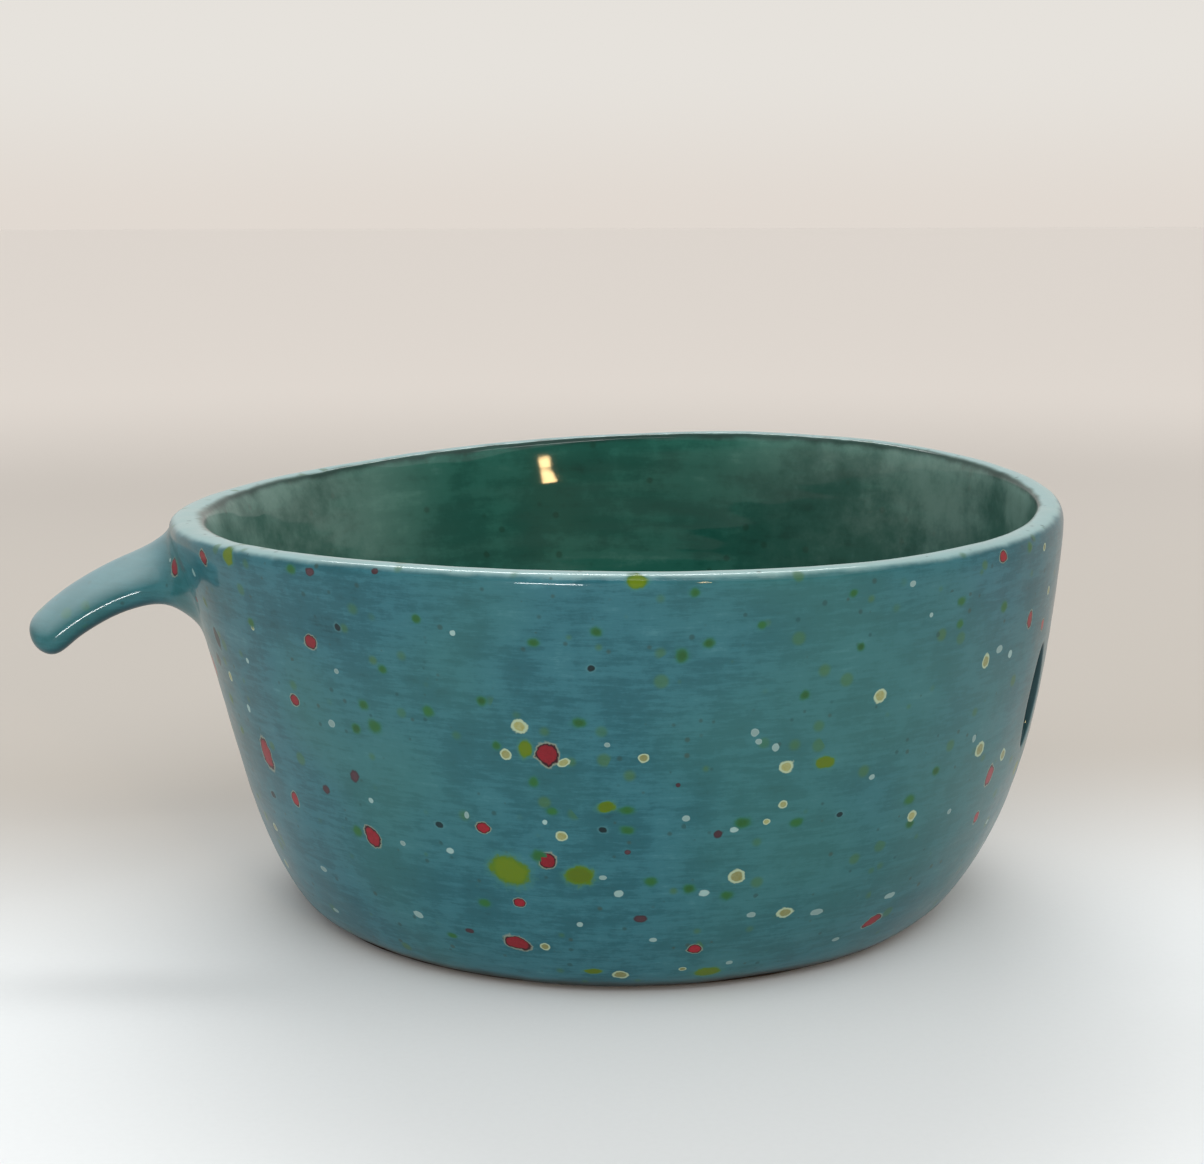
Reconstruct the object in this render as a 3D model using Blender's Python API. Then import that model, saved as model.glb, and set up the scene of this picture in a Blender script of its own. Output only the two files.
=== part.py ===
"""Yarn bowl: a hand-built stoneware bowl with a stem handle and a yarn slot.

The bowl is modelled as the pieces a potter joins before firing (floor slab, wall, rim coil, handle
and the coil worked round its root) and the two glaze coats fused over them. Nothing moves.

Units are metres, +Z is up. The origin is the centre of the flat underside of the foot. The handle
points along -X. Azimuth is measured from -Y towards +X, so the handle is at -90 degrees.
"""
import math

import bmesh
import bpy
from mathutils import Vector

# Bowl form: the glazed outer surface.
BOWL_HEIGHT = 0.0764
FOOT_RADIUS = 0.0612
WALL_FLARE = 0.0130
BELLY_SWELL = 0.0101
BELLY_REACH = 0.182
FOOT_ROLL = 0.0020
FOOT_ROLL_HEIGHT = 0.0040

# Hand-built unevenness: how the rim rises and falls, and how the sections sway along X.
RIM_SIDE_TILT = 0.0020
RIM_BACK_TILT = 0.0011
RIM_TWIST = 0.0013
RIM_OVAL = 0.0005
RIM_SWAY = -0.0016
BELLY_SWAY = 0.0023

# Wall section, from the outer glaze surface inwards.
WALL = 0.0050
GLAZE = 0.0005
GAP = 0.0003
CLAY_INSET = GLAZE + GAP
LIP_RADIUS = WALL / 2
LIP_HEIGHT = BOWL_HEIGHT - LIP_RADIUS
FLOOR_TOP = 0.0070
FLOOR_CORNER = 0.0120
BARE_FOOT = 0.0010
RIM_COIL_HEIGHT = 0.0090
GLAZE_HOOK = 0.0025

# The wall is thicker near the rim beside the handle.
ROOT_SWELL = 0.40
ROOT_SWELL_SPREAD = math.radians(28)
ROOT_SWELL_LOW = 0.050
ROOT_SWELL_HIGH = 0.070

# Stem handle: centre line as a cubic curve in the XZ plane, from the middle of the wall to the tip.
HANDLE_AZIMUTH = math.radians(-90)
STEM_CURVE = ((-0.0797, 0.0641), (-0.0900, 0.0632), (-0.1000, 0.0597), (-0.1080, 0.0520))
STEM_ROOT_HALF_HEIGHT = 0.0047
STEM_TIP_HALF_HEIGHT = 0.0035
STEM_ROOT_HALF_WIDTH = 0.0084
STEM_TIP_HALF_WIDTH = 0.0060
STEM_ROLL = math.radians(28)
STEM_FLARE = 0.0024
STEM_FLARE_START = 0.0820
STEM_FLARE_LENGTH = 0.0080

# Yarn slot: an upright leaf-shaped hole right through the wall.
SLOT_AZIMUTH = math.radians(60.5)
SLOT_CUT_AZIMUTH = math.radians(71)
SLOT_HEIGHT = 0.0440
SLOT_LENGTH = 0.0200
SLOT_WIDTH = 0.0086
SLOT_POINTEDNESS = 0.70
SLOT_CUT_REACH = 0.0150

# Mesh resolution.
TURNS = 48
HEIGHT_STEPS = 14
LIP_STEPS = 6
CORNER_STEPS = 4
STEM_STATIONS = 11
COIL_STATIONS = 2
STEM_SIDES = 20
CAP_STEPS = 4
SLOT_STEPS = 8
NEAR = 0.0006

# Glaze and clay finishes: colour, roughness.
BLUE_GLAZE = ((0.072, 0.190, 0.243), 0.14)
GREEN_GLAZE = ((0.026, 0.102, 0.080), 0.10)
BUFF_CLAY = ((0.330, 0.180, 0.095), 0.85)

WALL_HEIGHTS = [BOWL_HEIGHT * (i / HEIGHT_STEPS) ** 1.5 for i in range(HEIGHT_STEPS + 1)]


def clear_scene():
    for item in list(bpy.data.objects):
        bpy.data.objects.remove(item, do_unlink=True)


def glaze_material(name, finish):
    colour, roughness = finish
    material = bpy.data.materials.new(name)
    material.use_nodes = True
    shader = material.node_tree.nodes["Principled BSDF"]
    shader.inputs["Base Color"].default_value = (*colour, 1.0)
    shader.inputs["Roughness"].default_value = roughness
    shader.inputs["Metallic"].default_value = 0.0
    return material


def form_radius(height):
    """Radius of the glazed outer surface, before the hand-built unevenness."""
    level = max(height, 0.0) / BOWL_HEIGHT
    belly = (1 - math.exp(-level / BELLY_REACH)) / (1 - math.exp(-1 / BELLY_REACH))
    roll = FOOT_ROLL * max(0.0, 1 - max(height, 0.0) / FOOT_ROLL_HEIGHT) ** 2
    return FOOT_RADIUS + WALL_FLARE * level + BELLY_SWELL * belly - roll


def inset_radius(height, inset):
    """Radius of a surface that lies inset metres inside the outer one, square to it."""
    step = 0.0002
    slope = (form_radius(height + step) - form_radius(height)) / step
    return form_radius(height) - inset * math.hypot(1.0, slope)


def smooth_step(value, low, high):
    part = min(1.0, max(0.0, (value - low) / (high - low)))
    return part * part * (3 - 2 * part)


def root_swell(azimuth, height):
    away = (azimuth - HANDLE_AZIMUTH + math.pi) % (2 * math.pi) - math.pi
    beside = math.exp(-(away / ROOT_SWELL_SPREAD) ** 2)
    return ROOT_SWELL * beside * smooth_step(height, ROOT_SWELL_LOW, ROOT_SWELL_HIGH)


def hand_built(radius, azimuth, height):
    """Place a point of a turned section on the uneven, hand-built bowl."""
    level = max(height, 0.0) / BOWL_HEIGHT
    inset = (form_radius(height) - radius) * (1 + root_swell(azimuth, height))
    spread = form_radius(height) - inset
    sway = RIM_SWAY * level + BELLY_SWAY * 4 * level * (1 - level)
    rise = RIM_SIDE_TILT * math.sin(azimuth) - RIM_BACK_TILT * math.cos(azimuth)
    rise += RIM_OVAL * math.cos(2 * azimuth) - RIM_TWIST * math.sin(2 * azimuth)
    return Vector((sway + spread * math.sin(azimuth), -spread * math.cos(azimuth), height + rise * level ** 2))


def finish_object(name, mesh_builder, material):
    mesh = bpy.data.meshes.new(name)
    bmesh.ops.recalc_face_normals(mesh_builder, faces=mesh_builder.faces)
    mesh_builder.to_mesh(mesh)
    mesh_builder.free()
    mesh.shade_smooth()
    mesh.set_sharp_from_angle(angle=math.radians(40))
    body = bpy.data.objects.new(name, mesh)
    bpy.context.collection.objects.link(body)
    if material:
        mesh.materials.append(material)
    else:
        body.display_type = "WIRE"
        body.hide_render = True
    return body


def join_rings(builder, first, second):
    """Faces between two rings of vertices; a ring of one vertex is a pole."""
    count = max(len(first), len(second))
    for i in range(count):
        corners = [first[i % len(first)], first[(i + 1) % len(first)]]
        corners += [second[(i + 1) % len(second)], second[i % len(second)]]
        builder.faces.new(list(dict.fromkeys(corners)))


def turned_body(name, section, material=None):
    """Turn a closed section of (radius, height) points round the bowl's axis."""
    builder = bmesh.new()
    rings = []
    for radius, height in section:
        angles = [2 * math.pi * i / TURNS for i in range(TURNS)] if radius > 0 else [0.0]
        rings.append([builder.verts.new(hand_built(radius, angle, height)) for angle in angles])
    for first, second in zip(rings, rings[1:]):
        join_rings(builder, first, second)
    if len(rings[0]) > 1:
        join_rings(builder, rings[-1], rings[0])
    return finish_object(name, builder, material)


def levels_between(low, high):
    inside = [height for height in WALL_HEIGHTS if low + NEAR < height < high - NEAR]
    return [low] + inside + [high]


def outer_line(inset, low, high):
    return [(inset_radius(height, inset), height) for height in levels_between(low, high)]


def lip_arc(inset):
    """Half circle over the rim, from the outer side to the inner side."""
    middle = form_radius(LIP_HEIGHT) - LIP_RADIUS
    radius = LIP_RADIUS - inset
    angles = [math.pi * i / LIP_STEPS for i in range(LIP_STEPS + 1)]
    return [(middle + radius * math.cos(angle), LIP_HEIGHT + radius * math.sin(angle)) for angle in angles]


def inner_line(inset, high, low):
    """Inner face of the wall going down; inset is the depth below the glazed inner surface."""
    return [(inset_radius(height, WALL - inset), height) for height in reversed(levels_between(low, high))]


def floor_corner(inset, low):
    """Rounded corner from the wall down to the floor, ending at height low."""
    floor = FLOOR_TOP - inset
    radius = FLOOR_CORNER + inset
    start = math.acos(1 - (low - floor) / radius)
    points = []
    for i in range(CORNER_STEPS):
        angle = math.pi / 2 + (start - math.pi / 2) * (i + 1) / CORNER_STEPS
        height = floor + radius * (1 - math.cos(angle))
        points.append((inset_radius(height, WALL - inset) - radius * (1 - math.sin(angle)), height))
    return points


def inner_face(inset, high, low):
    """The whole inner face from height high down to height low, wall and rounded corner."""
    corner_top = FLOOR_TOP + FLOOR_CORNER
    return inner_line(inset, high, corner_top) + floor_corner(inset, low)


def base_slab(material):
    """Flat floor slab; its edge is the bare clay foot under the glaze line."""
    top = FLOOR_TOP - CLAY_INSET
    shoulder = BARE_FOOT - GAP
    foot = [(0.0, 0.0), (form_radius(0.0), 0.0), (form_radius(shoulder), shoulder)]
    return turned_body("base_slab", foot + outer_line(CLAY_INSET, shoulder, top) + [(0.0, top)], material)


def wall_ring(material):
    """Clay wall between the floor slab and the rim coil, with the yarn slot cut through it."""
    low = FLOOR_TOP - CLAY_INSET + GAP
    high = BOWL_HEIGHT - RIM_COIL_HEIGHT
    section = outer_line(CLAY_INSET, low, high) + inner_face(CLAY_INSET, high, low)
    return turned_body("wall_ring", section, material)


def rim_coil(material):
    low = BOWL_HEIGHT - RIM_COIL_HEIGHT + GAP
    section = outer_line(CLAY_INSET, low, LIP_HEIGHT - NEAR) + lip_arc(CLAY_INSET)
    return turned_body("rim_coil", section + inner_line(CLAY_INSET, LIP_HEIGHT - NEAR, low), material)


def inner_glaze(material):
    """Green liner over the floor and up the inside of the wall."""
    high = LIP_HEIGHT - GLAZE_HOOK - GAP
    low = FLOOR_TOP - GLAZE
    back = [(0.0, low)] + list(reversed(inner_face(GLAZE, high, low)))
    return turned_body("inner_glaze", back + inner_face(0.0, high, FLOOR_TOP) + [(0.0, FLOOR_TOP)], material)


def glaze_ring(material):
    """Full-thickness ring of the bowl's wall above the bare foot, still to be hollowed."""
    section = outer_line(0.0, BARE_FOOT, LIP_HEIGHT - NEAR) + lip_arc(0.0)
    return turned_body("outer_glaze", section + inner_line(0.0, LIP_HEIGHT - NEAR, BARE_FOOT), material)


def clay_space():
    """What the outer glaze wraps: the clay wall with its gap, and everything inside the glaze hook."""
    below = -0.002
    inside = WALL + 0.004
    hook_end = LIP_HEIGHT - GLAZE_HOOK
    outer = [(inset_radius(BARE_FOOT, GLAZE), below)] + outer_line(GLAZE, BARE_FOOT / 2, LIP_HEIGHT - NEAR)
    hook = inner_line(GLAZE, LIP_HEIGHT - NEAR, hook_end)
    inner = [(inset_radius(height, inside), height) for height in reversed(levels_between(0.0, hook_end))]
    inner.append((inset_radius(0.0, inside), below))
    return turned_body("clay_space", outer + lip_arc(GLAZE) + hook + inner)


def stem_point(part):
    """Point on the handle's centre line; part runs from 0 at the root to 1 at the tip."""
    a, b, c, d = (Vector((x, 0.0, z)) for x, z in STEM_CURVE)
    rest = 1 - part
    return a * rest ** 3 + b * 3 * rest ** 2 * part + c * 3 * rest * part ** 2 + d * part ** 3


def stem_direction(part):
    step = 0.01
    return (stem_point(min(part + step, 1.0)) - stem_point(min(part, 1.0 - step))).normalized()


def stem_flare(point):
    """Extra thickness where the handle runs into the wall."""
    out = min(1.0, max(0.0, (-point.x - STEM_FLARE_START) / STEM_FLARE_LENGTH))
    return STEM_FLARE * (1 - out) ** 2


def stem_ring(builder, centre, direction, half_height, half_width):
    """Oval section of the stem, rolled so that its -Y edge hangs lower."""
    level = Vector((0.0, 1.0, 0.0))
    across = level * math.cos(STEM_ROLL) + level.cross(direction) * math.sin(STEM_ROLL)
    up = across.cross(direction)
    ring = []
    for i in range(STEM_SIDES):
        angle = 2 * math.pi * i / STEM_SIDES
        offset = up * half_height * math.sin(angle) + across * half_width * math.cos(angle)
        ring.append(builder.verts.new(centre + offset))
    return ring


def stem_form(name, shrink, flared, stations=STEM_STATIONS, material=None):
    """Swept oval stem, shrink metres inside its glazed surface.

    With all its stations the stem ends in a rounded tip; with fewer it is a square-ended stub.
    """
    builder = bmesh.new()
    rings = []
    for i in range(stations + 1):
        part = i / STEM_STATIONS
        centre = stem_point(part)
        extra = (stem_flare(centre) if flared else 0.0) - shrink
        taper = (1 - part) ** 2
        half_height = extra + STEM_TIP_HALF_HEIGHT + (STEM_ROOT_HALF_HEIGHT - STEM_TIP_HALF_HEIGHT) * taper
        half_width = extra + STEM_TIP_HALF_WIDTH + (STEM_ROOT_HALF_WIDTH - STEM_TIP_HALF_WIDTH) * taper
        rings.append(stem_ring(builder, centre, stem_direction(part), half_height, half_width))
    if stations == STEM_STATIONS:
        direction = stem_direction(1.0)
        for i in range(1, CAP_STEPS):
            angle = math.pi / 2 * i / CAP_STEPS
            centre = stem_point(1.0) + direction * half_height * math.sin(angle)
            scale = math.cos(angle)
            rings.append(stem_ring(builder, centre, direction, half_height * scale, half_width * scale))
        rings.append([builder.verts.new(stem_point(1.0) + direction * half_height)])
    else:
        builder.faces.new(rings[-1])
    builder.faces.new(rings[0])
    for first, second in zip(rings, rings[1:]):
        join_rings(builder, first, second)
    return finish_object(name, builder, material)


def slot_cutter():
    """Leaf-shaped prism through the wall, upright, its sides cut at SLOT_CUT_AZIMUTH."""
    builder = bmesh.new()
    radius = form_radius(SLOT_HEIGHT) - WALL / 2
    middle = hand_built(radius, SLOT_AZIMUTH, SLOT_HEIGHT)
    outwards = Vector((math.sin(SLOT_CUT_AZIMUTH), -math.cos(SLOT_CUT_AZIMUTH), 0.0))
    across = Vector((math.cos(SLOT_CUT_AZIMUTH), math.sin(SLOT_CUT_AZIMUTH), 0.0))
    outline = []
    for i in range(2 * SLOT_STEPS):
        angle = math.pi * i / SLOT_STEPS
        half_width = SLOT_WIDTH / 2 * abs(math.sin(angle)) ** (2 * SLOT_POINTEDNESS)
        side = half_width if i < SLOT_STEPS else -half_width
        outline.append(across * side + Vector((0.0, 0.0, SLOT_LENGTH / 2 * math.cos(angle))))
    inner = [builder.verts.new(middle + point - outwards * SLOT_CUT_REACH) for point in outline]
    outer = [builder.verts.new(middle + point + outwards * SLOT_CUT_REACH) for point in outline]
    builder.faces.new(inner)
    builder.faces.new(outer)
    join_rings(builder, inner, outer)
    return finish_object("slot_cutter", builder, None)


def combine(body, other, operation):
    modifier = body.modifiers.new(f"{operation.lower()}_{other.name}", "BOOLEAN")
    modifier.operation = operation
    modifier.object = other
    modifier.solver = "EXACT"


def build():
    clear_scene()
    blue = glaze_material("blue_glaze", BLUE_GLAZE)
    green = glaze_material("green_glaze", GREEN_GLAZE)
    clay = glaze_material("buff_clay", BUFF_CLAY)

    base_slab(clay)
    wall = wall_ring(clay)
    rim_coil(clay)
    liner = inner_glaze(green)
    coat = glaze_ring(blue)
    stem = stem_form("stem_handle", CLAY_INSET, flared=False, material=clay)
    joint = stem_form("joint_coil", CLAY_INSET, flared=True, stations=COIL_STATIONS, material=clay)

    clay_form = clay_space()
    stem_coat = stem_form("stem_coat", 0.0, flared=True)
    stem_space = stem_form("stem_space", GLAZE, flared=True)
    stem_clearance = stem_form("stem_clearance", GLAZE, flared=False)
    slot = slot_cutter()

    combine(coat, stem_coat, "UNION")
    combine(coat, clay_form, "DIFFERENCE")
    combine(coat, stem_space, "DIFFERENCE")
    combine(coat, slot, "DIFFERENCE")
    combine(wall, slot, "DIFFERENCE")
    combine(liner, slot, "DIFFERENCE")
    combine(stem, clay_form, "DIFFERENCE")
    combine(joint, clay_form, "DIFFERENCE")
    combine(joint, stem_clearance, "DIFFERENCE")


build()
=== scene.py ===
"""Glazed, hand-built yarn bowl: one glazed sheet, split into two coats, over the clay pieces."""

import math
import random

import bmesh
import bpy
import numpy as np
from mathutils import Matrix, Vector, noise
from mathutils.kdtree import KDTree


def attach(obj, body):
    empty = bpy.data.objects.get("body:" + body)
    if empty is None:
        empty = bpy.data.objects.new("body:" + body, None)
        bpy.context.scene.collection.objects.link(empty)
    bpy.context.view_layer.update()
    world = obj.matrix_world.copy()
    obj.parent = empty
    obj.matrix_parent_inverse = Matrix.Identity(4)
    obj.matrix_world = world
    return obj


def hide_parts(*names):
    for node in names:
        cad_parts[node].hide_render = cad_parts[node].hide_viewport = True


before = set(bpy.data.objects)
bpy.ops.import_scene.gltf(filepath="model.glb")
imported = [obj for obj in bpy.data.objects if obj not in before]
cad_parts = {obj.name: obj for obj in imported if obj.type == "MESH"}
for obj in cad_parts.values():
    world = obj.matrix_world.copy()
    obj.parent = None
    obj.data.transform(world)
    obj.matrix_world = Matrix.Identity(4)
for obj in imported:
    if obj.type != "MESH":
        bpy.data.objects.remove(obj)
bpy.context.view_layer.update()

# --- The bowl's form, the same as in the CAD, in metres ---
BOWL_HEIGHT = 0.0764
FOOT_RADIUS = 0.0612
WALL_FLARE = 0.0130
BELLY_SWELL = 0.0101
BELLY_REACH = 0.182
FOOT_ROLL = 0.0020
FOOT_ROLL_HEIGHT = 0.0040
RIM_SIDE_TILT = 0.0020
RIM_BACK_TILT = 0.0011
RIM_TWIST = 0.0013
RIM_OVAL = 0.0005
RIM_SWAY = -0.0016
BELLY_SWAY = 0.0023
WALL = 0.0050
GLAZE = 0.0005
LIP_RADIUS = WALL / 2
LIP_HEIGHT = BOWL_HEIGHT - LIP_RADIUS
FLOOR_TOP = 0.0070
FLOOR_CORNER = 0.0120
ROOT_SWELL = 0.40
ROOT_SWELL_SPREAD = math.radians(28)
ROOT_SWELL_LOW = 0.050
ROOT_SWELL_HIGH = 0.070
HANDLE_AZIMUTH = math.radians(-90)

# Stem handle.
STEM_CURVE = ((-0.0797, 0.0641), (-0.0900, 0.0632), (-0.1000, 0.0597), (-0.1080, 0.0520))
STEM_HALF_HEIGHTS = (0.0047, 0.0035)  # at the root and at the tip
STEM_HALF_WIDTHS = (0.0084, 0.0060)
STEM_ROLL = math.radians(28)
STEM_FLARE = 0.0024
STEM_FLARE_START = 0.0820
STEM_FLARE_LENGTH = 0.0080
# The stem's edge on the wall: half width, half height and middle height.
ROOT_LOOP = (0.0165, 0.0086, 0.0630)
ROOT_ROLL = math.radians(11)

# Yarn slot, as it measures between its glazed sides.
SLOT_AZIMUTH = math.radians(60.5)
SLOT_CUT_AZIMUTH = math.radians(71)
SLOT_HEIGHT = 0.0440
SLOT_LENGTH = 0.0189
SLOT_WIDTH = 0.0075
SLOT_POINTEDNESS = 0.70
SLOT_COLLAR = 0.0011
SLOT_REACH = 0.012  # the cut's ends are looked for this far from its middle
SLOT_EDGE_MARGIN = 0.00025
SLOT_DEPTHS = (0.0001, 0.0010, None, -0.0010, -0.0001)  # of the lining's rings; None is half-way

# --- The sheet's grid: columns round the bowl, rows along its section ---
COLUMNS = 120
COLUMN_ANGLE = 360 / COLUMNS
WALL_STEPS = 16
ROW_STEP = (LIP_HEIGHT - FLOOR_TOP - FLOOR_CORNER) / WALL_STEPS
FOOT_PATHS = (0.0010, 0.0018, 0.0030, 0.0048, 0.0072, 0.0104, 0.0144)
CORNER_ANGLES = (18, 36, 54, 72, 90)
FLOOR_STEPS = 7
STEM_ROWS = (18, 23)
STEM_COLUMNS = (87, 92)
STEM_EASED = ((12, 27), (79, 101))  # rows and columns that make room for the stem
SLOT_ROWS = (12, 17)
SLOT_COLUMNS = (19, 21)
SLOT_EASED_ROWS = (6, 22)
SLOT_EASED_INSIDE_ROWS = (30, 46)
SLOT_EASED_COLUMNS = (11, 32)
INSIDE_MIRROR = 52  # an outer row and the inner row at the same height add up to this
COAT_SPLIT = 0.0034  # how far the blue coat hooks down inside the rim
STEM_STATIONS = (0.16, 0.24, 0.34, 0.45, 0.56, 0.67, 0.78, 0.89, 1.0)
SIDE_FILLET = 2.2  # how much wider than tall the stem flares into the wall
CAP_ANGLES = (30, 55, 75)
STEM_PATH = 0.0700  # the stem counts as this high up the wall
LINING_PATH = 0.0450  # and the slot's lining as this high


def new_object(name, data):
    piece = bpy.data.objects.new(name, data)
    bpy.context.collection.objects.link(piece)
    return piece


def bridge(builder, before, ring, flip=False):
    """Faces between two rings of points, one of which may be a single point."""
    count = max(len(before), len(ring))
    faces = []
    for i in range(count):
        a, b = ((i + 1) % count, i) if flip else (i, (i + 1) % count)
        places = ((before, a), (before, b), (ring, b), (ring, a))
        corners = dict.fromkeys(points[i % len(points)] for points, i in places)
        faces.append(builder.faces.new(list(corners)))
    return faces


def finished_mesh(builder, name):
    mesh = bpy.data.meshes.new(name)
    builder.to_mesh(mesh)
    builder.free()
    return mesh


def form_radius(height):
    level = max(height, 0.0) / BOWL_HEIGHT
    belly = (1 - math.exp(-level / BELLY_REACH)) / (1 - math.exp(-1 / BELLY_REACH))
    roll = FOOT_ROLL * max(0.0, 1 - max(height, 0.0) / FOOT_ROLL_HEIGHT) ** 2
    return FOOT_RADIUS + WALL_FLARE * level + BELLY_SWELL * belly - roll


def inset_radius(height, inset):
    step = 0.0002
    slope = (form_radius(height + step) - form_radius(height)) / step
    return form_radius(height) - inset * math.hypot(1.0, slope)


def smooth_step(value, low, high):
    part = min(1.0, max(0.0, (value - low) / (high - low)))
    return part * part * (3 - 2 * part)


def root_swell(azimuth, height):
    away = (azimuth - HANDLE_AZIMUTH + math.pi) % (2 * math.pi) - math.pi
    beside = math.exp(-(away / ROOT_SWELL_SPREAD) ** 2)
    return ROOT_SWELL * beside * smooth_step(height, ROOT_SWELL_LOW, ROOT_SWELL_HIGH)


def rim_rise(azimuth):
    rise = RIM_SIDE_TILT * math.sin(azimuth) - RIM_BACK_TILT * math.cos(azimuth)
    return rise + RIM_OVAL * math.cos(2 * azimuth) - RIM_TWIST * math.sin(2 * azimuth)


def sway_at(level):
    return RIM_SWAY * level + BELLY_SWAY * 4 * level * (1 - level)


def hand_built(radius, azimuth, height):
    level = max(height, 0.0) / BOWL_HEIGHT
    inset = (form_radius(height) - radius) * (1 + root_swell(azimuth, height))
    spread = form_radius(height) - inset
    x = sway_at(level) + spread * math.sin(azimuth)
    return Vector((x, -spread * math.cos(azimuth), height + rim_rise(azimuth) * level ** 2))


def unbuilt(point):
    """(radius, azimuth, height) before the hand-built unevenness, the inverse of hand_built."""
    height = point.z
    for _ in range(4):
        level = max(height, 0.0) / BOWL_HEIGHT
        x = point.x - sway_at(level)
        azimuth = math.atan2(x, -point.y)
        height = point.z - rim_rise(azimuth) * level ** 2
    return math.hypot(x, point.y), azimuth, height


# Path along the section: up the outside, over the lip, down the inside and over the floor to the middle.
PATH_LIP = LIP_HEIGHT
PATH_INSIDE = PATH_LIP + math.pi * LIP_RADIUS
PATH_CORNER = PATH_INSIDE + LIP_HEIGHT - FLOOR_TOP - FLOOR_CORNER
PATH_FLOOR = PATH_CORNER + math.pi / 2 * FLOOR_CORNER
FLOOR_RADIUS = inset_radius(FLOOR_TOP, WALL) - FLOOR_CORNER
LIP_STEP = 30  # degrees
LIP_OUTER_SQUARENESS = 0.66  # 1 for a round lip, less for a flatter top with tighter edges
LIP_INNER_SQUARENESS = 0.48
INNER_SWELL = 0.0004
INNER_SWELL_LOW = 0.026
INNER_SWELL_HIGH = 0.048
CURL_START = 0.0680
CURL_RADIUS = 0.180


def inner_swell(height):
    """The inside swells a little below the rim, so that it curls outwards towards the lip."""
    curl = max(0.0, height - CURL_START) ** 2 / (2 * CURL_RADIUS)
    return INNER_SWELL * smooth_step(height, INNER_SWELL_LOW, INNER_SWELL_HIGH) - curl


def section_point(path):
    if path <= PATH_LIP:
        return form_radius(path), path
    if path < PATH_INSIDE:
        angle = (path - PATH_LIP) / LIP_RADIUS
        squareness = LIP_OUTER_SQUARENESS if angle < math.pi / 2 else LIP_INNER_SQUARENESS
        out = math.copysign(abs(math.cos(angle)) ** squareness, math.cos(angle))
        middle = form_radius(LIP_HEIGHT) - LIP_RADIUS
        return middle + LIP_RADIUS * out, LIP_HEIGHT + LIP_RADIUS * math.sin(angle) ** squareness
    if path <= PATH_CORNER:
        height = LIP_HEIGHT - (path - PATH_INSIDE)
        return inset_radius(height, WALL + inner_swell(height)), height
    if path <= PATH_FLOOR:
        angle = math.pi / 2 - (path - PATH_CORNER) / FLOOR_CORNER
        height = FLOOR_TOP + FLOOR_CORNER * (1 - math.cos(angle))
        return inset_radius(height, WALL) - FLOOR_CORNER * (1 - math.sin(angle)), height
    return FLOOR_RADIUS - (path - PATH_FLOOR), FLOOR_TOP


def sheet_point(path, azimuth):
    radius, height = section_point(path)
    return hand_built(radius, azimuth, height)


def row_paths():
    foot = list(FOOT_PATHS)
    wall = [FLOOR_TOP + FLOOR_CORNER + ROW_STEP * i for i in range(WALL_STEPS + 1)]
    lip = [PATH_LIP + LIP_RADIUS * math.radians(angle) for angle in range(LIP_STEP, 180, LIP_STEP)]
    inside = [PATH_INSIDE + ROW_STEP * i for i in range(WALL_STEPS + 1)]
    corner = [PATH_CORNER + FLOOR_CORNER * math.radians(angle) for angle in CORNER_ANGLES]
    floor = [PATH_FLOOR + FLOOR_RADIUS * i / FLOOR_STEPS for i in range(1, FLOOR_STEPS)]
    return foot + wall + lip + inside + corner + floor


EASING_ROUNDS = 500


def ease_grid(grid, loop, targets, rows, columns):
    """Move a loop of grid points onto its targets and ease the block round it along with it."""
    shift = np.zeros_like(grid)
    free = np.zeros(grid.shape[:2], dtype=bool)
    free[rows[0]:rows[1], columns[0]:columns[1]] = True
    for (row, column), target in zip(loop, targets):
        shift[row, column] = np.array(target) - grid[row, column]
        free[row, column] = False
    for _ in range(EASING_ROUNDS):
        mean = np.zeros_like(shift)
        for axis, way in ((0, 1), (0, -1), (1, 1), (1, -1)):
            mean += np.roll(shift, way, axis) / 4
        shift[free] = mean[free]
    grid += shift


def block_loop(rows, columns, anticlockwise):
    """Grid points round a block, from its lowest row and first column."""
    low, high = rows
    first, last = columns
    up = [(row, first) for row in range(low, high)]
    along = [(high, column) for column in range(first, last)]
    down = [(row, last) for row in range(high, low, -1)]
    back = [(low, column) for column in range(last, first, -1)]
    loop = up + along + down + back
    return [loop[0]] + loop[:0:-1] if anticlockwise else loop


def stem_point(part):
    a, b, c, d = (Vector((x, 0.0, z)) for x, z in STEM_CURVE)
    rest = 1 - part
    return a * rest ** 3 + b * 3 * rest ** 2 * part + c * 3 * rest * part ** 2 + d * part ** 3


def stem_direction(part):
    step = 0.01
    return (stem_point(min(part + step, 1.0)) - stem_point(min(part, 1.0 - step))).normalized()


def tapered(ends, part):
    root, tip = ends
    return tip + (root - tip) * (1 - part) ** 2


STEM_SIDES = 20
STEM_CORNER = -45  # degrees to the loop's first corner
STEM_SMOOTHING = 3 / (2 + math.cos(2 * math.pi / STEM_SIDES))  # makes up for what subdivision shrinks
ROOT_ASPECT = 1.25
STEM_ASPECT = 1.5


def stem_angles(roll, half_width, half_height):
    """Angle of each side on the rolled oval, so that the rings line up with their loop on the wall."""
    angles = []
    for i in range(STEM_SIDES):
        seen = math.radians(STEM_CORNER + 360 / STEM_SIDES * i) - roll
        angles.append(math.atan2(math.sin(seen) / half_height, math.cos(seen) / half_width))
    return angles


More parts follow.
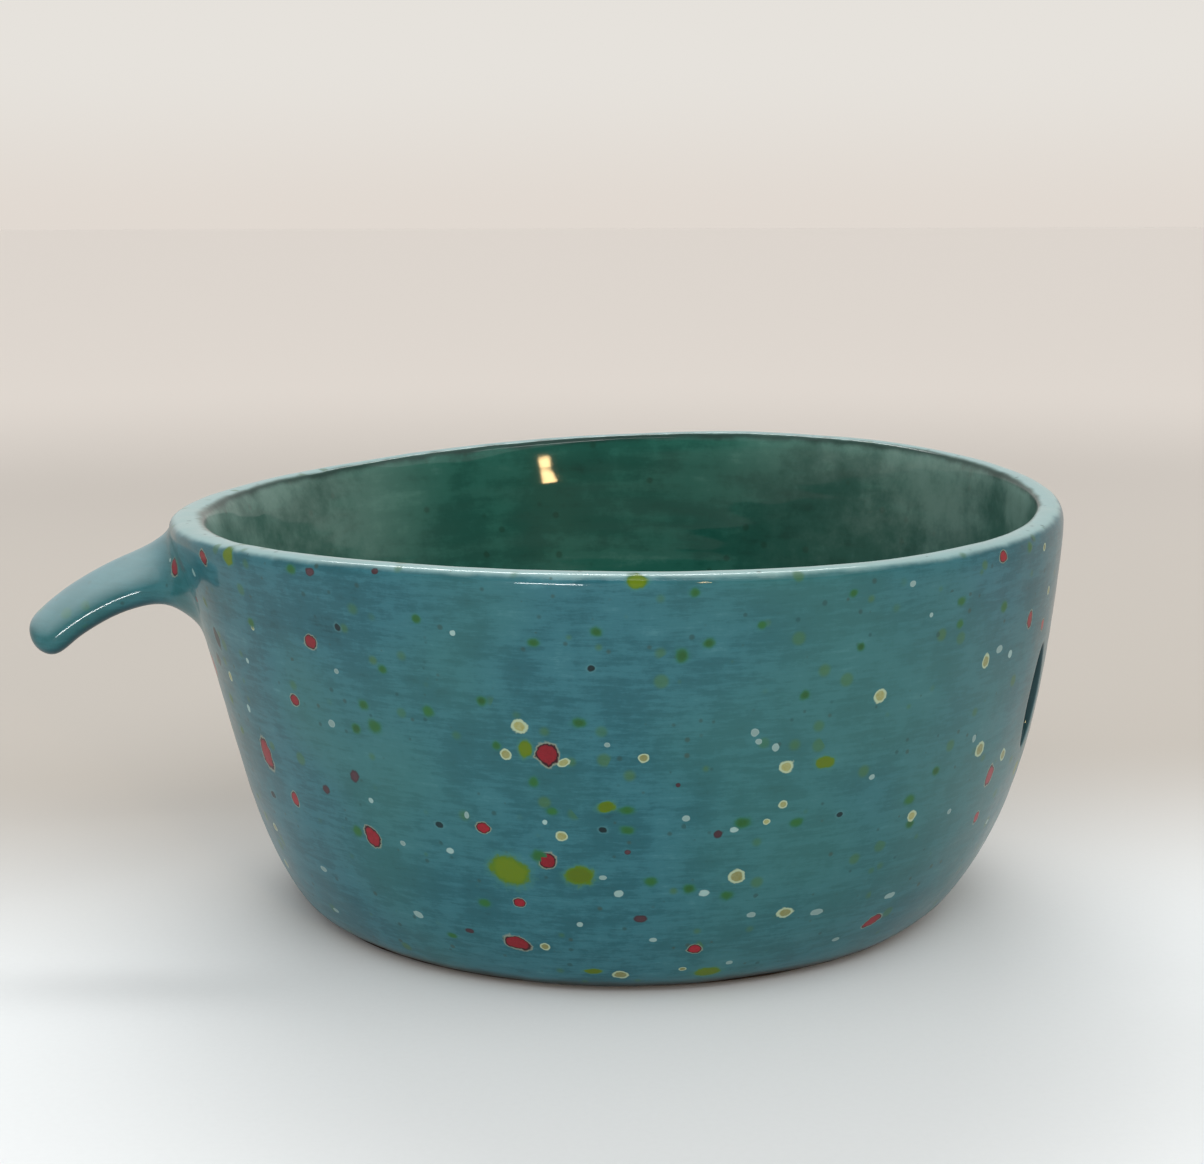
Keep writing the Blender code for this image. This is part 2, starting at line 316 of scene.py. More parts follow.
def stem_targets():
    targets = []
    for angle in stem_angles(ROOT_ROLL, ROOT_ASPECT, 1.0):
        wide = ROOT_LOOP[0] * math.cos(angle)
        tall = ROOT_LOOP[1] * math.sin(angle)
        y = wide * math.cos(ROOT_ROLL) - tall * math.sin(ROOT_ROLL)
        z = ROOT_LOOP[2] + wide * math.sin(ROOT_ROLL) + tall * math.cos(ROOT_ROLL)
        azimuth = HANDLE_AZIMUTH + 2 * math.pi - math.asin(y / form_radius(z))
        height = z
        for _ in range(4):
            height = z - rim_rise(azimuth) * (height / BOWL_HEIGHT) ** 2
        targets.append((height, azimuth))
    return targets


def stem_rings():
    """Rings of points along the stem, from next to the wall to the tip, and the tip itself."""
    level = Vector((0.0, 1.0, 0.0))
    rings = []

    def ring(centre, direction, half_height, half_width):
        across = level * math.cos(STEM_ROLL) + level.cross(direction) * math.sin(STEM_ROLL)
        up = across.cross(direction)
        points = []
        for angle in stem_angles(STEM_ROLL, STEM_ASPECT, 1.0):
            offset = up * half_height * math.sin(angle) + across * half_width * math.cos(angle)
            points.append(centre + offset * STEM_SMOOTHING)
        rings.append(points)

    for part in STEM_STATIONS:
        centre = stem_point(part)
        out = min(1.0, max(0.0, (-centre.x - STEM_FLARE_START) / STEM_FLARE_LENGTH))
        flare = STEM_FLARE * (1 - out) ** 2
        half_height = flare + tapered(STEM_HALF_HEIGHTS, part)
        half_width = flare * SIDE_FILLET + tapered(STEM_HALF_WIDTHS, part)
        ring(centre, stem_direction(part), half_height, half_width)
    direction = stem_direction(1.0)
    for angle in map(math.radians, CAP_ANGLES):
        centre = stem_point(1.0) + direction * half_height * math.sin(angle)
        ring(centre, direction, half_height * math.cos(angle), half_width * math.cos(angle))
    rings.append([stem_point(1.0) + direction * half_height])
    return rings


SLOT_SIDES = 14


def slot_outline(margin):
    """(across, up) points round the leaf, anticlockwise from outside, from its lower tip."""
    points = []
    for i in range(SLOT_SIDES):
        angle = math.radians(-90) + 2 * math.pi * i / SLOT_SIDES
        wide = abs(math.cos(angle)) ** (2 * SLOT_POINTEDNESS)
        across = math.copysign(wide, math.cos(angle)) if i % (SLOT_SIDES // 2) else 0.0
        points.append(((SLOT_WIDTH / 2 + margin) * across, (SLOT_LENGTH / 2 + margin) * math.sin(angle)))
    return points


def slot_point(across, up, side):
    """Point where the straight cut through the slot meets the outside or the inside of the wall."""
    outwards = Vector((math.sin(SLOT_CUT_AZIMUTH), -math.cos(SLOT_CUT_AZIMUTH), 0.0))
    sideways = Vector((math.cos(SLOT_CUT_AZIMUTH), math.sin(SLOT_CUT_AZIMUTH), 0.0))
    middle = hand_built(form_radius(SLOT_HEIGHT) - WALL / 2, SLOT_AZIMUTH, SLOT_HEIGHT)
    start = middle + sideways * across + Vector((0.0, 0.0, up))
    low, high = -SLOT_REACH, SLOT_REACH
    for _ in range(30):
        half = (low + high) / 2
        radius, _, height = unbuilt(start + outwards * half)
        inset = 0.0 if side == "outside" else WALL
        if radius < inset_radius(height, inset):
            low = half
        else:
            high = half
    return start + outwards * low


def slot_targets(side):
    targets = []
    for across, up in slot_outline(SLOT_COLLAR):
        _, azimuth, height = unbuilt(slot_point(across, up, side))
        path = height if side == "outside" else PATH_INSIDE + LIP_HEIGHT - height
        targets.append((path, azimuth))
    return targets


def slot_rings():
    """Rings of the slot's glazed lining, from the outer edge to the inner edge."""
    rings = []
    for i, depth in enumerate(SLOT_DEPTHS):
        margin = SLOT_EDGE_MARGIN if i in (0, len(SLOT_DEPTHS) - 1) else 0.0
        points = []
        for across, up in slot_outline(margin):
            outer = slot_point(across, up, "outside")
            inner = slot_point(across, up, "inside")
            if depth is None:
                points.append((outer + inner) / 2)
            else:
                points.append((outer if depth > 0 else inner) + (inner - outer).normalized() * depth)
        rings.append(points)
    return rings


BLUE, GREEN = 0, 1


def build_sheet():
    """The whole glazed surface as one control mesh, with the stem and the slot worked into it."""
    paths = row_paths()
    grid = np.zeros((len(paths), COLUMNS, 2))
    for row, path in enumerate(paths):
        for column in range(COLUMNS):
            grid[row, column] = (path, math.radians(COLUMN_ANGLE * (column + 0.5)))

    stem_loop = block_loop(STEM_ROWS, STEM_COLUMNS, anticlockwise=False)
    ease_grid(grid, stem_loop, stem_targets(), *STEM_EASED)
    middle_column = (SLOT_COLUMNS[0] + SLOT_COLUMNS[1]) // 2
    slot_loop = block_loop(SLOT_ROWS, SLOT_COLUMNS, anticlockwise=True)
    start = slot_loop.index((SLOT_ROWS[0], middle_column))
    slot_loop = slot_loop[start:] + slot_loop[:start]
    slot_inside = [(INSIDE_MIRROR - row, column) for row, column in slot_loop]
    ease_grid(grid, slot_loop, slot_targets("outside"), SLOT_EASED_ROWS, SLOT_EASED_COLUMNS)
    ease_grid(grid, slot_inside, slot_targets("inside"), SLOT_EASED_INSIDE_ROWS, SLOT_EASED_COLUMNS)

    builder = bmesh.new()
    path_layer = builder.verts.layers.float.new("path")
    lining_layer = builder.verts.layers.float.new("lining")

    def add(point, path, lining=0.0):
        vert = builder.verts.new(point)
        vert[path_layer] = path
        vert[lining_layer] = lining
        return vert

    def in_block(row, column, edge):
        """Whether a point (edge 1) or a face (edge 0) is within one of the blocks left open."""
        return any(a + edge <= row < b and c + edge <= column < d for (a, b), (c, d) in blocks)

    slot_back = (INSIDE_MIRROR - SLOT_ROWS[1], INSIDE_MIRROR - SLOT_ROWS[0])
    blocks = ((STEM_ROWS, STEM_COLUMNS), (SLOT_ROWS, SLOT_COLUMNS), (slot_back, SLOT_COLUMNS))
    verts = {}
    for row in range(len(paths)):
        for column in range(COLUMNS):
            if in_block(row, column, 1):
                continue
            path, azimuth = grid[row, column]
            verts[row, column] = add(sheet_point(path, azimuth), path)

    split_row = next(row for row, path in enumerate(paths) if path > PATH_INSIDE + COAT_SPLIT * 0.9)
    for row in range(len(paths) - 1):
        for column in range(COLUMNS):
            if in_block(row, column, 0):
                continue
            after = (column + 1) % COLUMNS
            places = ((row, column), (row, after), (row + 1, after), (row + 1, column))
            face = builder.faces.new([verts[place] for place in places])
            face.material_index = BLUE if row < split_row else GREEN
    centre = add(sheet_point(PATH_FLOOR + FLOOR_RADIUS, 0.0), PATH_FLOOR + FLOOR_RADIUS)
    for face in bridge(builder, [verts[len(paths) - 1, column] for column in range(COLUMNS)], [centre]):
        face.material_index = GREEN

    before = [verts[place] for place in stem_loop]
    for points in stem_rings():
        ring = [add(point, STEM_PATH) for point in points]
        bridge(builder, before, ring, flip=True)  # blue, like every new face
        before = ring

    before = [verts[place] for place in slot_loop]
    rings = [[add(point, LINING_PATH, 1.0) for point in points] for points in slot_rings()]
    rings.append([verts[place] for place in slot_inside])
    for ring in rings:
        faces = bridge(builder, before, ring)
        before = ring
    for face in faces:
        face.material_index = GREEN

    return finished_mesh(builder, "sheet_control")


# How far the potter's hand leaves the surface uneven.
BROAD_SWELL = 0.00022
SMALL_SWELL = 0.00007
TOOLING = 0.00004


def read_values(items, name, count, kind=float):
    values = np.zeros(count, dtype=kind)
    items.foreach_get(name, values)
    return values


def finished_sheet(levels):
    """The control mesh subdivided, as arrays, with the potter's unevenness worked in."""
    control = new_object("sheet_control", build_sheet())
    subdivide = control.modifiers.new("subdivide", "SUBSURF")
    subdivide.levels = levels
    subdivide.render_levels = levels
    mesh = control.evaluated_get(bpy.context.evaluated_depsgraph_get()).to_mesh()
    count = len(mesh.vertices)
    points = read_values(mesh.vertices, "co", count * 3).reshape(-1, 3)
    normals = read_values(mesh.vertex_normals, "vector", count * 3).reshape(-1, 3)
    path = read_values(mesh.attributes["path"].data, "value", count)
    lining = read_values(mesh.attributes["lining"].data, "value", count)
    corners = read_values(mesh.loops, "vertex_index", len(mesh.polygons) * 4, np.int64)
    coats = read_values(mesh.polygons, "material_index", len(mesh.polygons), np.int64)
    for i in range(count):
        place = Vector(points[i])
        swell = BROAD_SWELL * noise.noise(place * 38)
        swell += SMALL_SWELL * noise.noise(place * 120 + Vector((3, 5, 7)))
        tooling = TOOLING * noise.noise(Vector((place.x * 40, place.y * 40, place.z * 420)))
        points[i] += normals[i] * (swell + tooling) * (1 - lining[i])
    bpy.data.objects.remove(control)
    return points, normals, path, lining, corners.reshape(-1, 4), coats


LINING_THINNER = 0.6  # the coat is this much thinner in the slot


def coat_solid(name, sheet, coat):
    """One glaze coat as a closed skin of glaze thickness, with its outer faces first."""
    points, normals, path, lining, corners, coats = sheet
    faces = corners[coats == coat]
    used, faces = np.unique(faces, return_inverse=True)
    faces = faces.reshape(-1, 4)
    count = len(used)
    depth = GLAZE * (1 - LINING_THINNER * lining[used])
    outer = points[used]
    inner = outer - normals[used] * depth[:, None]
    edges = {}
    for face in faces.tolist():
        for a, b in zip(face, face[1:] + face[:1]):
            edges[a, b] = True
    rim = [(b, a, a + count, b + count) for a, b in edges if (b, a) not in edges]
    everything = faces.tolist() + (faces[:, ::-1] + count).tolist() + rim
    mesh = bpy.data.meshes.new(name)
    mesh.from_pydata(np.vstack((outer, inner)).tolist(), [], everything)
    mesh.update()
    mesh.shade_smooth()
    mesh.set_sharp_from_angle(angle=math.radians(60))
    mesh.attributes.new("path", "FLOAT", "POINT").data.foreach_set("value", np.tile(path[used], 2))
    mesh.attributes.new("lining", "FLOAT", "POINT").data.foreach_set("value", np.tile(lining[used], 2))
    return new_object(name, mesh), faces, outer, normals[used]


# --- Crystals in the blue glaze ---
RED, LEAF, MOSS, CREAM, WHITE, BROWN, PIT = range(7)

# (kind, azimuth in degrees, height, width and tallness in millimetres, any tilt in degrees)
FRONT_CRYSTALS = (
    (RED, -63, 37, 3.6, 6, 10), (RED, -52, 50, 2.4, 2.2), (BROWN, -44, 38, 1.9, 2.2),
    (BROWN, -50, 34, 1.9, 1.7), (RED, -58, 30, 2.2, 3), (RED, -43, 27, 3.1, 4, 25),
    (RED, -17, 46, 3.7, 4.1, -10), (RED, -26, 32, 2.5, 1.9, -10), (RED, -18, 27, 2.9, 3.1),
    (RED, -22, 18.5, 2, 1.8), (BROWN, -30, 11.6, 1.6, 1.1), (RED, -23, 10.2, 4.7, 3, -12),
    (BROWN, -6, 16.3, 2.3, 1.5), (RED, 2, 9.8, 2.6, 1.9, 8), (BROWN, 3, 32, 1.4, 1.4),
    (RED, 31, 9.9, 4.2, 2.2, 25), (RED, 48, 33, 3, 3.8), (RED, 48, 25, 1.9, 2.5), (RED, 43, 74, 2.4, 2),
    (RED, 52, 60.7, 2.3, 3), (RED, 58, 58, 1.8, 2.1), (RED, -46, 61.6, 2.8, 2.5),
    (BROWN, -43, 74, 1.8, 1.4), (BROWN, -34, 75, 1.2, 0.9), (RED, -65, 73, 2.6, 2.8),
    (BROWN, -2, 41, 0.8, 0.8), (RED, -80, 62, 3, 3.2, 10), (LEAF, -23, 24.5, 6.8, 5.6, -15),
    (LEAF, -14, 24.4, 4.9, 3.7, 5), (MOSS, -19, 27.7, 2.6, 2.2), (LEAF, -19.6, 46.8, 2.4, 3),
    (MOSS, -40, 51.6, 2, 1.9), (MOSS, -39, 48, 2.8, 2.5), (MOSS, -42, 47, 1.9, 1.8),
    (MOSS, -24, 54.7, 1.8, 1.6), (MOSS, -13, 51.7, 2.3, 1.7), (MOSS, -19, 41, 1.6, 1.8),
    (MOSS, -23, 47, 1.4, 1.6), (LEAF, -10.5, 37.2, 3, 2, 15), (MOSS, -8, 36.6, 2.4, 1.5),
    (LEAF, 16, 43.3, 3.6, 2.3), (MOSS, 6, 33.8, 2.6, 1.9), (MOSS, 13, 33, 2.3, 1.7),
    (MOSS, -5, 23.5, 2, 1.7), (MOSS, 0, 22, 2.1, 1.8), (MOSS, 5, 20.4, 2.1, 1.7),
    (LEAF, 5, 4.2, 4.8, 2.4), (MOSS, -27, 17.7, 2.2, 1.7), (MOSS, -33, 9.9, 1.9, 1.3),
    (LEAF, -12, 5.1, 3, 1.4), (LEAF, -5, 75.2, 3.2, 2.3), (MOSS, -1, 63, 2.2, 2.2),
    (MOSS, 1, 73.4, 1.6, 1.4), (MOSS, 8, 67.7, 1.5, 1.3), (MOSS, 13, 55.4, 1.7, 1.6),
    (MOSS, 19, 72, 1.5, 1.3), (MOSS, 20, 62.8, 1.6, 1.5), (MOSS, 35, 68, 1.9, 1.6),
    (MOSS, 35, 64, 1.7, 1.5), (MOSS, 44, 65, 2.1, 1.8), (MOSS, 30, 33.7, 2.2, 1.9),
    (MOSS, 31, 29, 1.9, 1.6), (LEAF, -58, 74.2, 3, 3.2, 20), (MOSS, -46, 74, 2, 1.5),
    (MOSS, -57, 62.8, 2, 1.6), (MOSS, -36, 58.5, 1.7, 1.5), (MOSS, -45.6, 27.4, 2.2, 2),
    (CREAM, -20, 50.7, 2.7, 2.5), (CREAM, -22, 45.5, 1.9, 1.9), (CREAM, -15.2, 44.7, 2.2, 1.4, 30),
    (WHITE, -46, 47, 1.6, 1.3), (WHITE, -42, 34, 1, 0.9), (CREAM, -16, 31.6, 2.1, 1.8),
    (WHITE, -18, 34, 0.8, 0.8), (WHITE, -31, 27, 1.4, 1.2), (WHITE, -28, 34, 0.8, 1.3),
    (WHITE, -11, 24.2, 1.3, 0.9), (WHITE, -9, 21.2, 1.5, 1.2), (CREAM, -19, 9.9, 1.8, 1.5),
    (WHITE, -38, 13.1, 1.9, 1.3, -20), (WHITE, -58, 7.5, 1.5, 0.9), (WHITE, -56, 16.8, 1.7, 1.1),
    (CREAM, -8, 4.4, 3, 1.9), (CREAM, 23, 53.8, 2.5, 2.3), (WHITE, 7, 49.6, 1.3, 1.2),
    (WHITE, 7.5, 48, 1, 0.9), (WHITE, 9.5, 46.7, 1.2, 1.2), (CREAM, 11, 43.2, 2.3, 2.2),
    (CREAM, -6, 45.8, 1.7, 1.5), (WHITE, 23, 39.4, 1.1, 1), (CREAM, 11, 36.5, 1.6, 1.5),
    (WHITE, 5, 32.6, 1.3, 1), (CREAM, 9, 33.7, 1.2, 1.1), (CREAM, 31, 30.4, 2.1, 2.1),
    (CREAM, 43, 39.5, 2.8, 2.7), (CREAM, 41, 56, 2, 2.5), (WHITE, 44, 57.4, 2, 1.3),
    (WHITE, 47, 55.7, 1.3, 1.4), (WHITE, 2, 21.1, 1.7, 1.4), (CREAM, 6, 23.9, 2.9, 2.7),
    (CREAM, 14, 15.7, 3, 2.2), (WHITE, 19, 14.8, 2.5, 1.4), (WHITE, 9, 16.1, 1.5, 1.1),
    (WHITE, 32, 14.7, 2.5, 1.1), (WHITE, -4, 12, 1.3, 0.9), (WHITE, 25, 7.6, 1.4, 0.9),
    (CREAM, 1, 5.4, 1.5, 1.1), (WHITE, 8, 6, 1.1, 0.9), (WHITE, 27, 72.5, 1.3, 1),
    (WHITE, 30, 66.6, 0.8, 0.8), (WHITE, -26, 65.9, 0.9, 0.9), (WHITE, -71, 69, 1.6, 1.5),
    (PIT, -65, 28.5, 1.9, 1.3), (PIT, -32, 31.6, 1.3, 1.1), (PIT, 19, 33.4, 1.1, 0.9),
    (PIT, -70, 57, 2.6, 4), (PIT, -73, 52, 2.4, 2.6), (CREAM, -69, 50, 1.6, 2),
    (WHITE, -65, 45, 1.2, 1.6), (WHITE, -61, 55, 0.9, 1), (CREAM, -57, 62, 1, 1.2),
    (CREAM, 59, 64, 1.6, 1.6), (CREAM, 55, 73, 1.4, 1.4), (MOSS, 50, 74, 2, 1.8),
    (MOSS, 34, 38, 1.8, 1.6), (WHITE, 39, 29, 1.1, 1), (WHITE, 54, 22, 1.2, 1), (WHITE, 41, 42, 1, 1.4),
    (CREAM, 51, 36, 2.2, 2.4, 30), (PIT, -41, 65, 1.2, 1.2), (WHITE, -43, 57, 1, 1),
    (WHITE, -38, 27, 1, 0.9), (WHITE, -10, 48, 0.9, 0.8), (WHITE, -1, 35, 1.2, 1.1),
    (PIT, -11, 33, 1.3, 1), (BROWN, -8, 29, 1, 0.9), (WHITE, -14, 15, 1, 1), (MOSS, 2, 65, 1.8, 1.6),
    (MOSS, -10, 67, 1.6, 1.5), (MOSS, -17, 65, 2, 1.4), (MOSS, -30, 68, 1.7, 1.6),
    (PIT, -11, 61, 1.2, 1), (MOSS, -31, 52, 2, 2.2), (MOSS, -17, 36, 2, 1.4), (MOSS, -8, 33, 2.2, 1.6),
)
FRONT_SPAN = (-68, 60)
CRYSTAL_SHARES = (
    (RED, 0.15), (LEAF, 0.06), (MOSS, 0.30), (CREAM, 0.15), (WHITE, 0.25), (BROWN, 0.06), (PIT, 0.03),
)
UNSEEN_CRYSTALS = 205
CRYSTAL_HEIGHTS = (3.0, 71.5)
CRYSTAL_WIDTHS = {RED: 2.6, LEAF: 3.0, MOSS: 1.9, CREAM: 2.0, WHITE: 1.25, BROWN: 1.5, PIT: 1.2}
WIDTH_SPREAD = 0.28
DEGREE_LENGTH = 1.4  # millimetres round the wall
SLOT_CLEARANCE = (7, 13)  # degrees and millimetres
STEM_CRYSTAL_AZIMUTH = -80  # this one sits on the stem's root, beyond the wall's own form
STEM_CRYSTAL_PLACE = Vector((-0.0829, -0.0095, 0.0655))
FACE_REACH = 0.0015
UNTOUCHED = 9.0  # an offset, in crystal radii, that is clear of any crystal


def crystal_layout():
    """Crystals all round: the front ones as placed, the others scattered much the same."""
    rng = random.Random(23)
    layout = list(FRONT_CRYSTALS)
    placed = []
    kinds = [kind for kind, _ in CRYSTAL_SHARES]
    weights = [share for _, share in CRYSTAL_SHARES]
    slot_azimuth, slot_height = math.degrees(SLOT_AZIMUTH), SLOT_HEIGHT * 1000
    slot_angle, slot_distance = SLOT_CLEARANCE
    while len(placed) < UNSEEN_CRYSTALS:
        azimuth = rng.uniform(FRONT_SPAN[1], 360 + FRONT_SPAN[0])
        height = rng.uniform(*CRYSTAL_HEIGHTS)
        kind = rng.choices(kinds, weights)[0]
        width = CRYSTAL_WIDTHS[kind] * rng.lognormvariate(0.0, WIDTH_SPREAD)
        tall = width * rng.uniform(0.65, 1.15)
        on_slot = abs(azimuth - slot_azimuth) < slot_angle and abs(height - slot_height) < slot_distance
        if on_slot or any(
            abs(azimuth - a) * DEGREE_LENGTH < width and abs(height - h) < tall * 1.2 for a, h in placed
        ):
            continue
        placed.append((azimuth, height))
        layout.append((kind, azimuth, height, width, tall, rng.uniform(-30, 30)))
    return layout


def search_tree(places):
    tree = KDTree(len(places))
    for i, place in enumerate(places):
        tree.insert(place, i)
    tree.balance()
    return tree


def paint_crystals(piece, faces, points, normals):
    """Store, for each outer face, the two nearest crystals as offsets in crystal radii."""
    rng = random.Random(7)
    centres = points[faces].mean(axis=1)
    face_tree = search_tree(centres)
    point_tree = search_tree(points)
    nearest = np.full((len(faces), 2), 99.0)
    chosen = np.full((len(faces), 2), -1)
    frames = []
    for number, (kind, azimuth, height, width, tall, *tilt) in enumerate(crystal_layout()):
        place = sheet_point(height / 1000, math.radians(azimuth))
        if azimuth == STEM_CRYSTAL_AZIMUTH:
            place = STEM_CRYSTAL_PLACE
        _, index, _ = point_tree.find(place)
        normal = Vector(normals[index])
        level = Vector((0.0, 0.0, 1.0)).cross(normal).normalized()
        upwards = normal.cross(level)
        turn = math.radians(sum(tilt))
        across = (level * math.cos(turn) + upwards * math.sin(turn)) * (2000 / width)  # radii per metre
        along = (upwards * math.cos(turn) - level * math.sin(turn)) * (2000 / tall)
        tag = kind + rng.uniform(0.05, 0.95)  # the kind, with a shade of its own as the fraction
        place, across, along = np.array(place), np.array(across), np.array(along)
        frames.append((place, across, along, tag))
        for _, face, _ in face_tree.find_range(Vector(place), max(width, tall) * 0.0013 + FACE_REACH):
            offset = centres[face] - place
            distance = math.hypot(offset @ across, offset @ along)
            if distance < nearest[face, 0]:
                nearest[face, 1], chosen[face, 1] = nearest[face, 0], chosen[face, 0]
                nearest[face, 0], chosen[face, 0] = distance, number
            elif distance < nearest[face, 1]:
                nearest[face, 1], chosen[face, 1] = distance, number
    mesh = piece.data
    corner_points = points[faces]
    for layer in range(2):
        values = np.full((len(mesh.loops), 3), UNTOUCHED)
        for number, (place, across, along, tag) in enumerate(frames):
            owned = np.nonzero(chosen[:, layer] == number)[0]
            if not len(owned):
                continue
            offset = corner_points[owned] - place
            rows = (owned[:, None] * 4 + np.arange(4)).ravel()
            values[rows, 0] = (offset @ across).ravel()
            values[rows, 1] = (offset @ along).ravel()
            values[rows, 2] = tag
        attribute = mesh.attributes.new(f"crystal_{layer}", "FLOAT_VECTOR", "CORNER")
        attribute.data.foreach_set("vector", values.ravel())


# --- Materials ---
def srgb(*levels):
    """Linear colour of a colour given in 0 to 255 screen values."""
    return tuple(((v / 255 + 0.055) / 1.055) ** 2.4 if v > 10 else v / 255 / 12.92 for v in levels)


class Nodes:
    """Small helper for building a node tree."""

    def __init__(self, tree):
        self.tree = tree

    def add(self, kind, **settings):
        node = self.tree.nodes.new(kind)
        for name, value in settings.items():
            setattr(node, name, value)
        return node

    def put(self, socket, value):
        if isinstance(value, bpy.types.NodeSocket):
            self.tree.links.new(value, socket)
        elif hasattr(socket, "default_value"):
            try:
                socket.default_value = value
            except (TypeError, ValueError):
                socket.default_value = (*value, 1.0)

    def settle(self, node, **values):
        """Fixed values for a node's inputs; an underscore stands for a space in a name."""
        for name, value in values.items():
            node.inputs[name.replace("_", " ")].default_value = value

    def split(self, vector):
        node = self.add("ShaderNodeSeparateXYZ")
        self.put(node.inputs[0], vector)
        return node.outputs["X"], node.outputs["Y"], node.outputs["Z"]

    def length(self, vector):
        node = self.add("ShaderNodeVectorMath", operation="LENGTH")
        self.put(node.inputs[0], vector)
        return node.outputs["Value"]

    def cells(self, where, scale):
        """Distance to the nearest point of a cell pattern, and two random values of its cell."""
        node = self.add("ShaderNodeTexVoronoi")
        self.put(node.inputs["Vector"], where)
        self.settle(node, Scale=scale)
        parts = self.add("ShaderNodeSeparateColor")
        self.put(parts.inputs[0], node.outputs["Color"])
        return node.outputs["Distance"], parts.outputs[0], parts.outputs[1]

    def coordinate(self, name):
        return self.add("ShaderNodeTexCoord").outputs[name]

    def stored(self, name, output="Fac"):
        return self.add("ShaderNodeAttribute", attribute_name=name).outputs[output]

    def math(self, operation, *values):
        node = self.add("ShaderNodeMath", operation=operation)
        for socket, value in zip(node.inputs, values):
            self.put(socket, value)
        return node.outputs[0]

    def times(self, a, b):
        return self.math("MULTIPLY", a, b)

    def plus(self, a, b):
        return self.math("ADD", a, b)

    def step(self, value, low, high, to_low=0.0, to_high=1.0):
        """Smooth step of a value, from to_low at low to to_high at high."""
        node = self.add("ShaderNodeMapRange", interpolation_type="SMOOTHSTEP")
        names = ("Value", "From Min", "From Max", "To Min", "To Max")
        for name, item in zip(names, (value, low, high, to_low, to_high)):
            self.put(node.inputs[name], item)
        return node.outputs["Result"]

    def mix(self, factor, a, b, blend="MIX"):
        node = self.add("ShaderNodeMix", data_type="RGBA", blend_type=blend)
        self.put(node.inputs["Factor"], factor)
        sockets = {socket.identifier: socket for socket in node.inputs}
        self.put(sockets["A_Color"], a)
        self.put(sockets["B_Color"], b)
        return next(s for s in node.outputs if s.identifier == "Result_Color")

    def tint(self, base, mask, strength, *colour):
        """The base turned towards a screen colour, where the mask is and as strongly as said."""
        return self.mix(self.times(mask, strength), base, srgb(*colour))

    def noise(self, where, scale, detail=3.0, roughness=0.55, stretch=None):
        if stretch:
            node = self.add("ShaderNodeVectorMath", operation="MULTIPLY")
            self.put(node.inputs[0], where)
            node.inputs[1].default_value = stretch
            where = node.outputs[0]
        node = self.add("ShaderNodeTexNoise")
        self.put(node.inputs["Vector"], where)
        self.settle(node, Scale=scale, Detail=detail, Roughness=roughness)
        return node.outputs["Fac"]

    def ramp(self, value, stops, steps=False):
        node = self.add("ShaderNodeValToRGB")
        self.put(node.inputs[0], value)
        node.color_ramp.interpolation = "CONSTANT" if steps else "EASE"
        elements = node.color_ramp.elements
        while len(elements) < len(stops):
            elements.new(0.5)
        for element, (position, _) in zip(elements, stops):
            element.position = position
        for element, (_, colour) in zip(elements, stops):
            element.color = (*colour, 1.0)
        return node.outputs["Color"]

    def shades(self, value, *stops):
        """Colour ramp of (place, red, green, blue) stops in screen values."""
        return self.ramp(value, [(place, srgb(*colour)) for place, *colour in stops])


# Screen colours for each kind of crystal: inside, at the edge and round it.
CORE_COLOURS = (
    (140, 26, 38), (80, 98, 6), (32, 80, 30), (114, 110, 50), (114, 142, 140), (70, 46, 52), (12, 32, 36),
)
EDGE_COLOURS = (
    (42, 14, 22), (66, 98, 22), (34, 86, 60), (142, 160, 134), (126, 152, 150), (44, 32, 38),
    (20, 46, 50),
)
HALO_COLOURS = (
    (132, 136, 116), (52, 104, 94), (36, 92, 84), (70, 106, 106), (64, 108, 112), (58, 90, 94),
    (66, 110, 114),
)


